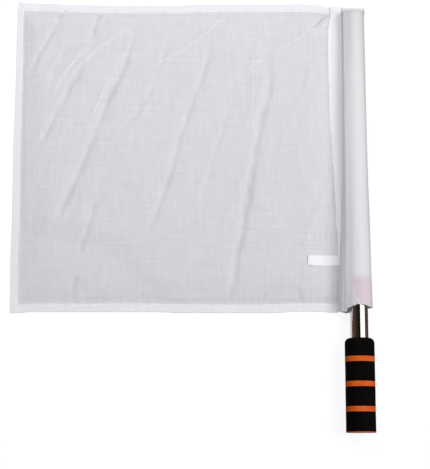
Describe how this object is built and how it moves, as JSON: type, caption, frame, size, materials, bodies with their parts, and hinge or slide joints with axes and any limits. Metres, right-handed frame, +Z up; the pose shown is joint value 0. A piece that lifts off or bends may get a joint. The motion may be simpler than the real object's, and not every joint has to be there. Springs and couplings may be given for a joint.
{
  "type": "linesman flag",
  "caption": "Hand flag for a line judge: plain white cloth with turned hems, loose on a polished steel tube by its sleeve, with a banded foam grip.",
  "frame": {"origin": "on the surface that the flag lies on, under the middle of its outline", "axes": "+X across the cloth from its free edge to the pole, +Y up the pole from the grip to the cloth's top, +Z up from the surface"},
  "size_m": [0.3766, 0.4566, 0.0316],
  "materials": {
    "polished_steel": "polished stainless steel, mirror bright",
    "plug_plastic": "moulded black polyethylene",
    "black_foam": "ground closed-cell EVA foam, matt",
    "orange_foam": "ground closed-cell EVA foam, matt",
    "red_tape": "red vinyl adhesive tape",
    "white_cloth": "thin plain-weave white polyester, slightly sheer and creased",
    "hem_cloth": "the same cloth, turned double and stitched",
    "sleeve_cloth": "the same cloth, loose round the tube",
    "label_satin": "blank white satin ribbon"
  },
  "bodies": {
    "pole": {"pole_tube": "polished_steel", "tube_end_plug": "plug_plastic", "tube_top_plug": "plug_plastic", "grip_black_1": "black_foam", "grip_black_2": "black_foam", "grip_black_3": "black_foam", "grip_black_4": "black_foam", "grip_orange_1": "orange_foam", "grip_orange_2": "orange_foam", "grip_orange_3": "orange_foam", "grip_orange_4": "orange_foam", "tape_band": "red_tape"},
    "flag": {"flag_cloth": "white_cloth", "top_hem": "hem_cloth", "bottom_hem": "hem_cloth", "fly_hem": "hem_cloth", "pole_sleeve": "sleeve_cloth", "seam_flap": "hem_cloth", "cloth_label": "label_satin"}
  },
  "joints": [
    {"name": "flag_swivel", "type": "hinge", "parent": "pole", "child": "flag", "pos_m": [0.17315, -0.22804, 0.01645], "axis": [0, 0.9999, -0.014], "continuous": true}
  ]
}
